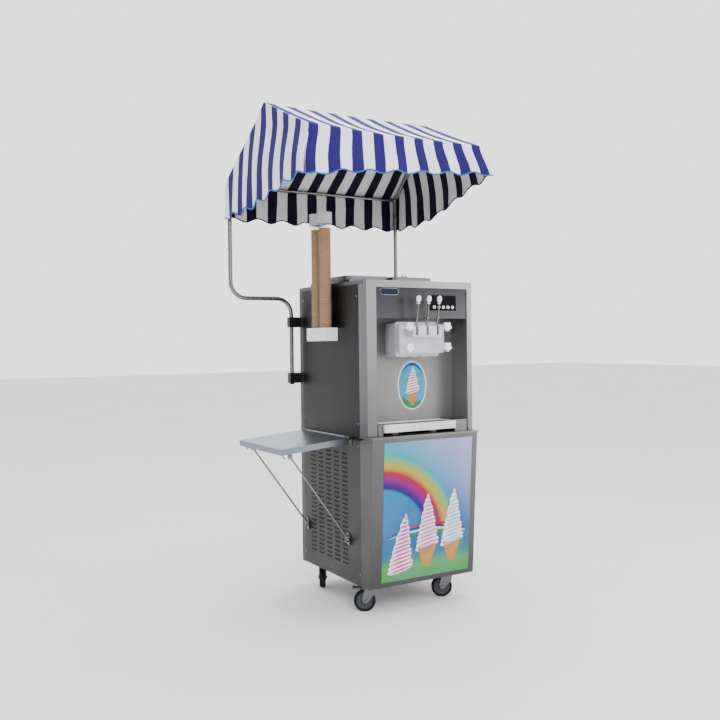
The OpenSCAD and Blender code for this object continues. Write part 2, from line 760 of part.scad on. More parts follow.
base_frame();
top_panel();
side_left_upper();
side_left_lower();
side_right();
rear_panel();
corner_trims();
front_frame();
recess_liner();
control_panel();
display_bezel();
for (i = [0:4]) button(i);
dispensing_head();
for (i = [0:2]) lever(i);
for (i = [0:3]) star_knob(i);
drip_tray();
front_ledge();
front_panel();
graphic_panel();
shelf();
shelf_rail();
struts();
strut_clips();
cone_base();
cone_tubes();
wafer_stack();
cone_cap();
left_post();
right_post();
hood_frame();
post_clamps();
canopy();
hoppers();
lid(55);  // lid_left
lid(body_w - 255);  // lid_right
freezing_unit();
beater(0);  // beater_left
beater(1);  // beater_right
compressor();
condenser();
fan();
for (i = [0:3]) fork(i);
for (i = [0:3]) wheel(i);
for (i = [0:1]) pedal(i);
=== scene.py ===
import json
import math

import bmesh
import bpy
from mathutils import Matrix, Vector, noise


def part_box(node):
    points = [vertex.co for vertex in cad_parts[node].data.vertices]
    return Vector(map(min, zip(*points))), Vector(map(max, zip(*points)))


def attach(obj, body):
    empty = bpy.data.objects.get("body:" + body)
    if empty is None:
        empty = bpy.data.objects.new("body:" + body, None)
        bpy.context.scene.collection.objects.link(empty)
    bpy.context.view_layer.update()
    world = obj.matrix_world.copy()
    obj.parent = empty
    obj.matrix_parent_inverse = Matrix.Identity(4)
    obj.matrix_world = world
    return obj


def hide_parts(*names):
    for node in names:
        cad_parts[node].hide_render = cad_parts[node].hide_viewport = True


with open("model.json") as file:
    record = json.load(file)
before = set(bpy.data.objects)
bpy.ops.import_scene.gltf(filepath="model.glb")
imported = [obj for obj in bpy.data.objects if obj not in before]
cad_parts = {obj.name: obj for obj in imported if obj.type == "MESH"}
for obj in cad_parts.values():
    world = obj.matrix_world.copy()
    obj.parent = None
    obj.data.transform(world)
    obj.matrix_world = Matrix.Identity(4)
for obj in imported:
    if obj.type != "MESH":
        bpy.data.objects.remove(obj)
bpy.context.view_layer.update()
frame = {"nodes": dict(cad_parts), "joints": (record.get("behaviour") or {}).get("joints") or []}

NODES = frame["nodes"]
MM = 0.001

# the cabinet's front left corner, from which places are given in millimetres
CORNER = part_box("front_frame")[0]
BODY_W = (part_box("front_frame")[1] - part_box("front_frame")[0]).x / MM


def at(x, y, z):
    """A place given in millimetres from the cabinet's front left corner, at floor level."""
    return Vector((CORNER.x + x * MM, CORNER.y + y * MM, z * MM))


def put(name, data):
    """A new object in the scene's own collection."""
    made = bpy.data.objects.new(name, data)
    bpy.context.scene.collection.objects.link(made)
    return made


# ---------------------------------------------------------------- camera

CAMERA_PLACE = (-1.9378, -3.2828, 1.1561)
CAMERA_TURN = math.radians(30.63)
CAMERA_PITCH = math.radians(-1.13)
CAMERA_ROLL = math.radians(-0.68)
CAMERA_LENS = 42.5


def make_camera():
    ahead = Vector((math.sin(CAMERA_TURN) * math.cos(CAMERA_PITCH),
                    math.cos(CAMERA_TURN) * math.cos(CAMERA_PITCH), math.sin(CAMERA_PITCH)))
    right = Vector((math.cos(CAMERA_TURN), -math.sin(CAMERA_TURN), 0))
    up = right.cross(ahead)
    c, s = math.cos(CAMERA_ROLL), math.sin(CAMERA_ROLL)
    turned_right = right * c + up * s
    turned_up = up * c - right * s
    camera = put("camera", bpy.data.cameras.new("camera"))
    camera.data.lens = CAMERA_LENS
    camera.data.sensor_width = 36
    camera.matrix_world = Matrix.Translation(CAMERA_PLACE) @ Matrix(
        (turned_right, turned_up, -ahead)).transposed().to_4x4()
    bpy.context.scene.camera = camera


make_camera()

# ---------------------------------------------------------------- materials


class Paint:
    """A Principled material and short ways to add nodes to it."""

    def __init__(self, name, **sockets):
        self.material = bpy.data.materials.new(name)
        self.material.use_nodes = True
        self.tree = self.material.node_tree
        self.bsdf = self.tree.nodes["Principled BSDF"]
        for key, value in sockets.items():
            self.bsdf.inputs[key.replace("_", " ")].default_value = value
        self.coords = self.tree.nodes.new("ShaderNodeTexCoord")

    def node(self, kind, **inputs):
        made = self.tree.nodes.new(kind)
        for key, value in inputs.items():
            target = made.inputs[key.replace("_", " ")]
            if isinstance(value, bpy.types.NodeSocket):
                self.tree.links.new(value, target)
            else:
                target.default_value = value
        return made

    def place(self, scale=(1, 1, 1), source="Object"):
        return self.node("ShaderNodeMapping", Vector=self.coords.outputs[source], Scale=scale).outputs[0]

    def noise(self, scale, stretch=(1, 1, 1), detail=4.0, roughness=0.55, source="Object"):
        made = self.node("ShaderNodeTexNoise", Vector=self.place(stretch, source), Scale=scale,
                         Detail=detail, Roughness=roughness)
        return made.outputs["Fac"]

    def ramp(self, value, *stops):
        made = self.node("ShaderNodeValToRGB", Fac=value)
        made.color_ramp.elements.remove(made.color_ramp.elements[1])
        for index, (place, color) in enumerate(stops):
            if index == 0:
                element = made.color_ramp.elements[0]
                element.position = place
            else:
                element = made.color_ramp.elements.new(place)
            element.color = (*color, 1) if len(color) == 3 else color
        return made.outputs["Color"]

    def span(self, value, low, high, from_low=0.3, from_high=0.7):
        made = self.node("ShaderNodeMapRange", Value=value)
        for index, number in zip((1, 2, 3, 4), (from_low, from_high, low, high)):
            made.inputs[index].default_value = number
        return made.outputs[0]

    def sum(self, a, b, kind="ADD"):
        made = self.tree.nodes.new("ShaderNodeMath")
        made.operation = kind
        for index, value in enumerate((a, b)):
            if isinstance(value, bpy.types.NodeSocket):
                self.tree.links.new(value, made.inputs[index])
            else:
                made.inputs[index].default_value = value
        return made.outputs[0]

    def mix(self, fac, a, b, blend="MIX"):
        made = self.tree.nodes.new("ShaderNodeMix")
        made.data_type = "RGBA"
        made.blend_type = blend
        for index, value in ((0, fac), (6, a), (7, b)):
            if isinstance(value, bpy.types.NodeSocket):
                self.tree.links.new(value, made.inputs[index])
            elif index == 0:
                made.inputs[index].default_value = value
            else:
                made.inputs[index].default_value = (*value, 1)
        return made.outputs[2]

    def set(self, socket, value):
        self.tree.links.new(value, self.bsdf.inputs[socket.replace("_", " ")])

    def bump(self, height, distance, strength=1.0, edge=0.0):
        made = self.node("ShaderNodeBump", Height=height, Distance=distance, Strength=strength)
        if edge:
            rounding = self.node("ShaderNodeBevel", Radius=edge)
            rounding.samples = 4
            self.tree.links.new(rounding.outputs[0], made.inputs["Normal"])
        self.set("Normal", made.outputs[0])


def tones(color, spread):
    """A darker and a lighter version of a colour."""
    return tuple(c * (1 - spread) for c in color), tuple(min(1, c * (1 + spread)) for c in color)


def brushed(name, color, streak, rough=0.34, spread=0.16, metal=1.0, edge=0.0012, fade=None):
    """Brushed sheet steel. streak is the mapping that draws the noise out along the brushing.
    fade holds two heights and the tone at each, as soft reflections shade tall panels."""
    paint = Paint(name, Metallic=metal)
    fine = paint.noise(260, streak, 5, 0.7)
    clouds = paint.noise(3.2, (1, 1, 0.7), 3)
    dark, light = tones(color, spread)
    grain = paint.ramp(fine, (0.3, dark), (0.7, light))
    tone = paint.mix(0.35, grain, paint.ramp(clouds, (0.35, dark), (0.65, light)))
    if fade:
        # painted reflection and shade: a tone set by height, times broad soft patches
        broad = paint.noise(1.6, (1, 1, 0.5), 2)
        split = paint.node("ShaderNodeSeparateXYZ", Vector=paint.coords.outputs["Object"])
        shade = paint.sum(paint.span(split.outputs[2], fade[2], fade[3], fade[0], fade[1]),
                          paint.span(broad, 0.75, 1.3), "MULTIPLY")
        tone = paint.mix(1.0, tone, shade, "MULTIPLY")
    paint.set("Base Color", tone)
    paint.set("Roughness", paint.sum(paint.span(clouds, -0.05, 0.08),
                                     paint.span(fine, rough - 0.05, rough + 0.06)))
    paint.bump(fine, 0.00006, 0.5, edge)
    return paint.material


def plastic(name, color, rough=0.32, spread=0.05, coat=0.25, edge=0.0015, grime=0.12, ior=1.46):
    """Moulded plastic with a faint orange-peel bump and a little dirt in broad patches."""
    paint = Paint(name, Coat_Weight=coat, Coat_Roughness=0.2, IOR=ior)
    peel = paint.noise(900, detail=2)
    clouds = paint.noise(9, detail=5)
    dark, light = tones(color, spread)
    soiled = tuple(c * (1 - grime) for c in dark)
    paint.set("Base Color", paint.ramp(clouds, (0.25, soiled), (0.5, color), (0.8, light)))
    paint.set("Roughness", paint.span(clouds, rough + 0.1, rough - 0.04))
    paint.bump(peel, 0.00003, 0.6, edge)
    return paint.material


def painted(name, color, rough=0.4, metal=0.2, spread=0.12, edge=0.0012, chips=(0.3, 0.3, 0.3)):
    """Sprayed or coated metal: fine texture, cloudy tone and small worn specks."""
    paint = Paint(name, Metallic=metal, Coat_Weight=0.15, Coat_Roughness=0.25)
    grit = paint.noise(700, detail=3)
    clouds = paint.noise(5, detail=5)
    specks = paint.noise(85, detail=6, roughness=0.8)
    dark, light = tones(color, spread)
    base = paint.ramp(clouds, (0.3, dark), (0.7, light))
    paint.set("Base Color", paint.mix(paint.span(specks, 0, 1, 0.72, 0.76), base, chips))
    paint.set("Roughness", paint.span(clouds, rough - 0.06, rough + 0.09))
    paint.bump(grit, 0.00005, 0.5, edge)
    return paint.material


def bright_metal(name, color, rough=0.16, spread=0.08):
    """Polished or zinc-plated wire and pressings."""
    paint = Paint(name, Metallic=1.0)
    smears = paint.noise(38, detail=5)
    fine = paint.noise(420, (1, 1, 0.15), 3)
    dark, light = tones(color, spread)
    paint.set("Base Color", paint.ramp(smears, (0.3, dark), (0.7, light)))
    paint.set("Roughness", paint.span(smears, rough - 0.05, rough + 0.12))
    paint.bump(fine, 0.00004, 0.4, 0.0006)
    return paint.material


def rubber(name, color):
    """Dusty rubber with a fine grit."""
    paint = Paint(name, IOR=1.28)
    dust = paint.noise(60, detail=6)
    grit = paint.noise(900, detail=3)
    dark, light = tones(color, 0.3)
    paint.set("Base Color", paint.ramp(dust, (0.35, dark), (0.6, color), (0.85, light)))
    paint.set("Roughness", paint.span(dust, 0.55, 0.8))
    paint.bump(grit, 0.0001, 0.7, 0.0015)
    return paint.material


def clear(name, color, alpha, rough=0.12):
    """Clear moulded plastic with faint scratches."""
    paint = Paint(name, Alpha=alpha, IOR=1.35, Coat_Weight=0.1)
    scratch = paint.noise(160, (1, 1, 0.12), 4)
    dark, light = tones(color, 0.04)
    paint.set("Base Color", paint.ramp(scratch, (0.3, dark), (0.7, light)))
    paint.set("Roughness", paint.span(scratch, rough, rough + 0.16))
    paint.bump(scratch, 0.00003, 0.4)
    return paint.material


def wafer_material():
    """Baked wafer: browned patches, a pale body, crumbs and faint level rings."""
    paint = Paint("wafer_crisp", Roughness=0.85, IOR=1.22)
    patches = paint.noise(30, detail=6)
    crumb = paint.noise(420, detail=5)
    wave = paint.node("ShaderNodeTexWave", Vector=paint.place((1, 1, 1)), Scale=78.0, Distortion=0.6)
    wave.bands_direction = "Z"
    tan = paint.ramp(patches, (0.25, (0.15, 0.060, 0.012)), (0.5, (0.25, 0.115, 0.028)),
                     (0.8, (0.33, 0.175, 0.052)))
    ringed = paint.mix(paint.span(wave.outputs["Fac"], 0.0, 0.55, 0.1, 0.9), tan, (0.42, 0.25, 0.095))
    crumbs = paint.ramp(crumb, (0.3, (0.12, 0.05, 0.014)), (0.7, (0.36, 0.21, 0.08)))
    paint.set("Base Color", paint.mix(0.2, ringed, crumbs))
    paint.bump(crumb, 0.0004, 0.8)
    return paint.material


STRIPE = 0.1065
BLUE_SHARE = 0.50


def cloth_material(name, blue, white, lit_roof_blue=None):
    """Striped awning cloth. The stripes follow the sheet's own map, whose U runs round the hood in metres. A
    second blue, if given, goes to faces that look up: painted light on the roof.
    """
    paint = Paint(name, Roughness=0.9, Sheen_Weight=0.04, IOR=1.22)
    split = paint.node("ShaderNodeSeparateXYZ", Vector=paint.coords.outputs["UV"])
    folds = paint.noise(5, detail=3)
    shifted = paint.sum(split.outputs[0], paint.span(folds, -0.004, 0.004))
    saw = paint.sum(paint.sum(shifted, STRIPE, "DIVIDE"), 0.0, "FRACT")
    band = paint.span(saw, 1.0, 0.0, BLUE_SHARE - 0.02, BLUE_SHARE + 0.02)
    rise = paint.span(saw, 0.0, 1.0, 0.0, 0.03)
    mask = paint.sum(band, rise, "MULTIPLY")
    weave_x = paint.node("ShaderNodeTexWave", Vector=paint.place((1, 1, 1), "UV"), Scale=330.0)
    weave_y = paint.node("ShaderNodeTexWave", Vector=paint.place((1, 1, 1), "UV"), Scale=330.0)
    weave_y.bands_direction = "Y"
    weave = paint.sum(weave_x.outputs["Fac"], weave_y.outputs["Fac"])
    mottle = paint.noise(14, detail=6)
    # faces that look up take the lighter second blue: painted light from above
    if lit_roof_blue:
        normal = paint.node("ShaderNodeNewGeometry")
        up = paint.node("ShaderNodeSeparateXYZ", Vector=normal.outputs["Normal"]).outputs[2]
        blue = paint.mix(paint.span(up, 0.0, 1.0, 0.1, 0.85), blue, lit_roof_blue)
        blue_tone = paint.mix(paint.span(mottle, 0.0, 0.35), blue, (0.012, 0.010, 0.08))
    else:
        blue_tone = paint.mix(paint.span(mottle, 0.0, 0.3), blue, (0.008, 0.005, 0.02))
    white_tone = paint.mix(paint.span(mottle, 0.0, 0.22), white, (0.55, 0.56, 0.6))
    paint.set("Base Color", paint.mix(mask, white_tone, blue_tone))
    paint.bump(weave, 0.0002, 0.5)
    return paint.material


STEEL_V = (1, 1, 0.02)
STEEL_H = (0.02, 1, 1)


def assign(material, *nodes):
    for name in nodes:
        mesh = NODES[name].data
        mesh.materials.clear()
        mesh.materials.append(material)


white_plastic = plastic("white_moulded", (0.86, 0.87, 0.88), 0.3)
head_plastic = plastic("head_moulded", (0.50, 0.495, 0.56), 0.34, grime=0.1)
chrome = bright_metal("chrome_wire", (0.19, 0.185, 0.175))
zinc = bright_metal("zinc_plated", (0.15, 0.15, 0.155), 0.28)
black_plastic = plastic("black_moulded", (0.003, 0.003, 0.0035), 0.36, coat=0.0, ior=1.13)
# Where a fade is given, the steel's tone by height is painted reflection and shade.
post_steel = brushed("post_steel", (0.205, 0.205, 0.21), STEEL_V, 0.36, fade=(0.8, 1.4, 0.8, 1.2))
side_steel = brushed("side_steel", (0.012, 0.0115, 0.012), STEEL_V, 0.30, 0.25, 0.8,
                     fade=(0.8, 1.4, 1.5, 0.7))
lower_steel = brushed("lower_side_steel", (0.030, 0.026, 0.024), STEEL_V, 0.42, 0.2, 0.55)
front_steel = brushed("lower_front_steel", (0.085, 0.083, 0.083), STEEL_V, 0.42, 0.15, 0.8,
                      fade=(0.15, 0.75, 0.65, 1.5))
panel_steel = brushed("panel_steel", (0.047, 0.047, 0.050), STEEL_H, 0.36, fade=(1.26, 1.39, 1.3, 0.8))
recess_steel = brushed("recess_steel", (0.185, 0.184, 0.178), STEEL_V, 0.42, 0.12, 0.7,
                       fade=(0.8, 1.26, 1.2, 0.8))
deck_steel = brushed("deck_steel", (0.12, 0.125, 0.135), STEEL_H, 0.32)
shelf_steel = brushed("shelf_steel", (0.20, 0.22, 0.26), STEEL_H, 0.3, 0.1)
trim_paint = painted("trim_paint", (0.014, 0.014, 0.017), 0.36)
tube_steel = bright_metal("tube_steel", (0.2, 0.195, 0.185), 0.25)
clamp_paint = painted("clamp_paint", (0.012, 0.011, 0.010), 0.4, 0.6, chips=(0.05, 0.05, 0.05))
tray_plastic = plastic("tray_moulded", (0.66, 0.67, 0.69), 0.3)
tyre_rubber = rubber("tyre_rubber", (0.008, 0.008, 0.0085))
hub_plastic = plastic("hub_moulded", (0.045, 0.047, 0.052), 0.4, coat=0.0, ior=1.35)
fins = brushed("fin_aluminium", (0.3, 0.3, 0.3), STEEL_V, 0.4)

assign(post_steel, "front_frame", "front_ledge", "hoppers")
assign(side_steel, "side_left_upper")
assign(lower_steel, "side_left_lower", "side_right", "rear_panel")
assign(front_steel, "front_panel")
assign(panel_steel, "control_panel")
assign(recess_steel, "recess_liner")
assign(deck_steel, "top_panel", "lid_left", "lid_right", "freezing_unit", "beater_left", "beater_right")
assign(shelf_steel, "shelf")
assign(trim_paint, "corner_trims", "base_frame", "compressor", "shelf_rail")
assign(black_plastic, "display_bezel", "fan")
assign(clamp_paint, "post_clamps")
assign(head_plastic, "dispensing_head")
assign(tray_plastic, "drip_tray")
assign(white_plastic, "cone_base")
assign(white_plastic, *[f"star_knob_{i}" for i in range(1, 5)], *[f"button_{i}" for i in range(1, 6)])
assign(clear("clear_tube", (0.55, 0.52, 0.47), 0.07, 0.06), "cone_tubes")
assign(clear("clear_cap", (0.62, 0.63, 0.65), 0.6, 0.25), "cone_cap")
assign(wafer_material(), "wafer_stack")
assign(chrome, "lever_1", "lever_2", "lever_3", "struts", "strut_clips")
assign(tube_steel, "left_post", "right_post", "hood_frame")
assign(fins, "condenser")
assign(zinc, "pedal_fl", "pedal_fr", *[f"fork_{c}" for c in ("fl", "fr", "rl", "rr")])
assign(tyre_rubber, *[f"wheel_{c}" for c in ("fl", "fr", "rl", "rr")])

# ---------------------------------------------------------------- mesh helpers


def make_piece(name, verts, faces, material, body="cabinet", smooth=False):
    mesh = bpy.data.meshes.new(name)
    mesh.from_pydata([tuple(v) for v in verts], [], faces)
    mesh.update()
    fix = bmesh.new()
    fix.from_mesh(mesh)
    bmesh.ops.recalc_face_normals(fix, faces=fix.faces)
    fix.to_mesh(mesh)
    fix.free()
    mesh.materials.append(material)
    if smooth:
        mesh.shade_smooth()
    piece = put(name, mesh)
    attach(piece, body)
    return piece


def band_faces(rings, around):
    """The quads between closed rings of points, in order round each ring."""
    faces = []
    for j in range(rings - 1):
        for k in range(around):
            n = (k + 1) % around
            faces.append([j * around + k, j * around + n, (j + 1) * around + n, (j + 1) * around + k])
    return faces


class Build:
    """Collects the verts and faces of one piece made of many small shapes."""

    def __init__(self):
        self.verts = []
        self.faces = []

    def add(self, verts, faces):
        start = len(self.verts)
        self.verts += [Vector(v) for v in verts]
        self.faces += [[start + i for i in face] for face in faces]

    def prism(self, outline, lift):
        """A flat outline raised by a vector, with both ends closed."""
        n = len(outline)
        verts = [Vector(p) for p in outline] + [Vector(p) + lift for p in outline]
        faces = [list(range(n))[::-1], list(range(n, 2 * n))]
        faces += [[i, (i + 1) % n, n + (i + 1) % n, n + i] for i in range(n)]
        self.add(verts, faces)

    def lathe(self, place, axis, profile, steps=24):
        """A turned shape: profile is (radius, height) along the axis, in millimetres."""
        axis = Vector(axis).normalized()
        side = axis.orthogonal().normalized()
        other = axis.cross(side)
        verts = []
        for radius, height in profile:
            for k in range(steps):
                a = 2 * math.pi * k / steps
                out = side * math.cos(a) + other * math.sin(a)
                verts.append(place + (axis * height + out * radius) * MM)
        faces = band_faces(len(profile), steps)
        faces.append(list(range(steps))[::-1])
        faces.append([(len(profile) - 1) * steps + k for k in range(steps)])
        self.add(verts, faces)

    def tube(self, points, radius, sides=12):
        """A round wire swept along points, radius in millimetres."""
        points = [Vector(p) for p in points]
        rings = []
        last = None
        for i, p in enumerate(points):
            ahead = (points[min(i + 1, len(points) - 1)] - points[max(i - 1, 0)]).normalized()
            if last is None:
                last = ahead.orthogonal().normalized()
            last = (last - ahead * last.dot(ahead)).normalized()
            other = ahead.cross(last)
            rings.append([p + (last * math.cos(a) + other * math.sin(a)) * radius * MM
                          for a in (2 * math.pi * k / sides for k in range(sides))])
        faces = band_faces(len(rings), sides)
        faces.append(list(range(sides))[::-1])
        faces.append([(len(rings) - 1) * sides + k for k in range(sides)])
        self.add([v for ring in rings for v in ring], faces)

    def piece(self, name, material, body="cabinet", slot=None, smooth=False):
        return make_piece(name, self.verts, self.faces, material, body, smooth)


def arc(centre, radius, start, end, steps, along, up):
    """Points on an arc in the plane of two directions, angles in degrees."""
    return [centre + (Vector(along) * math.cos(a) + Vector(up) * math.sin(a)) * radius * MM
            for a in (math.radians(start + (end - start) * i / steps) for i in range(steps + 1))]


# ---------------------------------------------------------------- canopy

# profile of the hood in side view, hem to ridge, as (y, z) from the cabinet's corner
FRONT_Y, FRONT_Z = -146, 1999
RIDGE_Y, RIDGE_Z = 250, 2169
REAR_Y, REAR_Z = 649, 1893
LEFT_LOW, LEFT_HIGH = -364, -341
RIGHT_LOW, RIGHT_HIGH = 578, 522
WALL_SHARE = 0.36
RINGS = 56
PER_SIDE = 84
SCALLOP = 0.131
WIDTH = RIGHT_LOW - LEFT_LOW
CLOTH_T = 0.0012
WELD = 0.0004
POST_CORNER_REACH = 2
# heights between which the side walls lean in: quickly at the front, slowly over the rear bars
LEAN_FROM, LEAN_SPAN = 1850, 150


def smooth_step(t):
    t = max(0.0, min(1.0, t))
    return t * t * (3 - 2 * t)


def hem_height(side, along):
    """Height of the hem: low at the rear, rising forward, short at the front.
    along runs 0 to 1 from the left corner on the front, and from the front corner on the sides."""
    if side == "front":
        return 1800 + 18 * smooth_step(along * 4.5) + 66 * along
    if side == "rear":
        return 1734
    front = 1806 if side == "left" else 1880
    drop = 1 - smooth_step(along * 1.15)
    return 1735 + (front - 1735) * drop ** 1.25


def scallop(metres, depth):
    """A gentle wave along the hem, not quite even."""
    drift = 0.6 * noise.noise(Vector((metres * 2.1, 5.3, 1.7)))
    return depth * (0.5 + 0.5 * math.sin(2 * math.pi * metres / SCALLOP + drift))


def hood_ring(t):
    """One closed ring round the hood at level t, 0 at the hem and 1 at the ridge: points and their map U."""
    if t <= WALL_SHARE:
        part = t / WALL_SHARE
        slope = 0.0
    else:
        part = 1.0
        slope = (t - WALL_SHARE) / (1 - WALL_SHARE)
    front_y = FRONT_Y - 9 * (1 - part) + (RIDGE_Y - 3 - FRONT_Y) * slope
    rear_y = REAR_Y + 3 * (1 - part) - (REAR_Y - RIDGE_Y - 3) * slope
    points = []
    for side in ("front", "right", "rear", "left"):
        for i in range(PER_SIDE):
            s = i / PER_SIDE
            if side == "front":
                x, y, along = s, front_y, s
            elif side == "right":
                x, y, along = 1.0, front_y + (rear_y - front_y) * s, s
            elif side == "rear":
                x, y, along = 1 - s, rear_y, 1 - s
            else:
                x, y, along = 0.0, rear_y + (front_y - rear_y) * s, 1 - s
            u = (x * WIDTH if side in ("front", "rear") else y - FRONT_Y) * MM
            depth = {"front": 0.0, "right": along, "rear": 1.0, "left": along}[side]
            wall_top = FRONT_Z + (REAR_Z - FRONT_Z) * depth
            hem = hem_height(side, along)
            hem += scallop(u, 12 if side == "front" else 20) - 8
            z = hem + (wall_top - hem) * part
            z += (RIDGE_Z - wall_top) * slope
            lean = smooth_step((z - LEAN_FROM) / (LEAN_SPAN + LEAN_SPAN * min(1.0, depth * 1.6)))
            low_x = LEFT_LOW + (LEFT_HIGH - LEFT_LOW) * lean
            high_x = RIGHT_LOW + (RIGHT_HIGH - RIGHT_LOW) * lean
            px = low_x + (high_x - low_x) * x
            points.append([px, y, z, u, side, s, part, slope, x * WIDTH * MM, (y - FRONT_Y) * MM])
    return points


def drape(point):
    """Sag of the roof between its bars, soft folds in the walls and a little unevenness."""
    x, y, z, u, side, s, part, slope = point[:8]
    out = {"front": Vector((0, -1, 0)), "right": Vector((1, 0, 0)),
           "rear": Vector((0, 1, 0)), "left": Vector((-1, 0, 0))}[side]
    place = Vector((x, y, z))
    corner = math.sin(math.pi * s)
    if slope > 0:
        if side in ("front", "rear"):
            place.z -= 13 * math.sin(math.pi * slope) * (0.15 + 0.85 * corner)
            place.z -= 4 * corner * slope
        else:
            place -= out * math.sin(math.pi * slope) * corner
    if side == "front":
        place.z -= 8 * corner * part ** 3 * (1 - slope) ** 2
    fold = math.sin(u * 2 * math.pi / SCALLOP + 0.6) * (1 - part) ** 1.3
    drift = noise.noise(Vector((u * 5.0, z * 0.006, 3.1)))
    place += out * (5.0 * fold + 4.0 * drift * (1 - slope))
    place -= out * 3.0 * corner * (1 - part) * 0.5
    place.z += 2.0 * noise.noise(Vector((x * 0.011, y * 0.011, 7.7))) * (1 if slope > 0 else 0)
    return place


def round_corner(points, count):
    """Pulls the ring's points in at its corners, so that each is a soft round: less at the rear posts."""
    total = len(points)
    result = [p.copy() for p in points]
    for corner, reach in enumerate((count, count, POST_CORNER_REACH, POST_CORNER_REACH)):
        centre = corner * PER_SIDE
        before = points[(centre - reach) % total]
        middle = points[centre]
        after = points[(centre + reach) % total]
        for k in range(-reach, reach + 1):
            t = (k + reach) / (2 * reach)
            result[(centre + k) % total] = before * (1 - t) ** 2 + middle * 2 * t * (1 - t) + after * t ** 2
    return result


def make_canopy():
    """The whole hood as one sheet of rings, hem to ridge. Gives the sheet, its hem line and its area."""
    verts = []
    maps = []
    for ring in range(RINGS + 1):
        t = ring / RINGS
        row = hood_ring(t)
        places = [drape(p) for p in row]
        places = round_corner(places, 2 if t > WALL_SHARE * 0.8 else 4)
        verts += [at(*p) for p in places]
        maps += [(p[8], p[9], t * 0.7) for p in row]
    per = 4 * PER_SIDE
    faces = band_faces(RINGS + 1, per)
    # close the slit along the ridge
    top = RINGS * per
    for i in range(PER_SIDE):
        front = top + i
        front_next = top + i + 1
        rear = top + (3 * PER_SIDE - i) % per
        rear_next = top + 3 * PER_SIDE - i - 1
        faces.append([front, front_next, rear_next, rear])
    mesh = bpy.data.meshes.new("canopy_sheet")
    mesh.from_pydata([tuple(v) for v in verts], [], faces)
    layer = mesh.uv_layers.new(name="cloth_map")
    for face in mesh.polygons:
        # front and rear take their stripes from X, the sides from Y
        side = (face.vertices[0] % per) // PER_SIDE if face.index < RINGS * per else 0
        for loop in face.loop_indices:
            across, back, v = maps[mesh.loops[loop].vertex_index]
            u = {0: across, 1: WIDTH * MM + back, 2: across, 3: -back}[side]
            layer.data[loop].uv = (u + STRIPE * 20, v)
    fix = bmesh.new()
    fix.from_mesh(mesh)
    bmesh.ops.remove_doubles(fix, verts=fix.verts, dist=WELD)
    bmesh.ops.recalc_face_normals(fix, faces=fix.faces)
    up = max(fix.faces, key=lambda f: f.calc_center_median().z)
    if up.normal.z < 0:
        bmesh.ops.reverse_faces(fix, faces=fix.faces)
    fix.to_mesh(mesh)
    fix.free()
    mesh.shade_smooth()
    area = sum(face.area for face in mesh.polygons)
    mesh.materials.append(cloth_material("canopy_outside", (0.022, 0.013, 0.120), (0.84, 0.86, 0.90),
                                         (0.040, 0.030, 0.20)))
    # The inside and the cut edge take a darker copy of the stripes: painted shade under the hood.
    mesh.materials.append(cloth_material("canopy_inside_shaded", (0.0045, 0.002, 0.013), (0.60, 0.60, 0.61)))
    sheet = put("canopy_sheet", mesh)
    thick = sheet.modifiers.new("cloth", "SOLIDIFY")
    thick.thickness = CLOTH_T
    thick.offset = -1
    thick.material_offset = 1
    thick.material_offset_rim = 1
    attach(sheet, "cabinet")
    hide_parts("canopy")
    hem_points = [verts[k] for k in range(per)]
    return sheet, hem_points, area


def make_hem(points):
    """The bound edge of the cloth: a soft round binding that follows the hem, darker along its rear and right
    runs as painted shade.
    """
    build = Build()
    count = len(points)
    loop = [points[k % count] for k in range(count + 1)]
    build.tube(loop, 3.0, 8)
    paint = Paint("hem_binding", Roughness=0.6, Sheen_Weight=0.05, IOR=1.25)
    ridges = paint.noise(300, detail=3)
    split = paint.node("ShaderNodeSeparateXYZ", Vector=paint.coords.outputs["Object"])
    # the rear and right runs turn dark navy: painted shade on the binding's inner side
    back = paint.sum(paint.span(split.outputs[1], 0.0, 1.0, CORNER.y + 0.40, CORNER.y + 0.62),
                     paint.span(split.outputs[0], 0.0, 1.0, at(560, 0, 0).x, at(572, 0, 0).x), "MAXIMUM")
    tone = paint.ramp(ridges, (0.3, (0.012, 0.075, 0.26)), (0.7, (0.025, 0.13, 0.36)))
    paint.set("Base Color", paint.mix(back, tone, (0.004, 0.008, 0.035)))
    paint.bump(ridges, 0.0004, 0.6)
    return build.piece("canopy_hem", paint.material, "cabinet", "canopy_cloth", smooth=True)


canopy, hem_line, canopy_area = make_canopy()
canopy_hem = make_hem(hem_line)

# ---------------------------------------------------------------- front picture and stickers

RECESS_Y = 118
FOOT_Y = 6
LEDGE_OUT = 38
BASE_Z = 116
LEDGE_Z = 762


def on_front(x, z, lift=0.0):
    """A place on the leaning lower front, lifted off it by some millimetres."""
    run = LEDGE_Z - 12 - BASE_Z
    lean = (FOOT_Y + LEDGE_OUT - 3) / run
    y = FOOT_Y - lean * (z - BASE_Z) - 1.0
    out = Vector((0, -1, -lean)).normalized()
    return at(x, y, z) + out * lift * MM


def on_recess(x, z, lift=0.0):
    """A place on the recess's rear wall, lifted off it by some millimetres."""
    return at(x, RECESS_Y - lift, z)


def facing(place):
    """The direction that a printed face looks in."""
    return (place(0, 300, 1) - place(0, 300, 0)).normalized()


def blot(place, centre, half, turn, lift, steps=36, squeeze=1.0):
    """A flat rounded shape on a face: an ellipse whose top may be drawn in."""
    cx, cz = centre
    points = []
    for k in range(steps):
        a = 2 * math.pi * k / steps
        x, z = half[0] * math.cos(a), half[1] * math.sin(a)
        x *= 1 - (1 - squeeze) * (z / half[1] + 1) / 2
        c, s = math.cos(turn), math.sin(turn)
        points.append(place(cx + x * c - z * s, cz + x * s + z * c, lift))
    return points


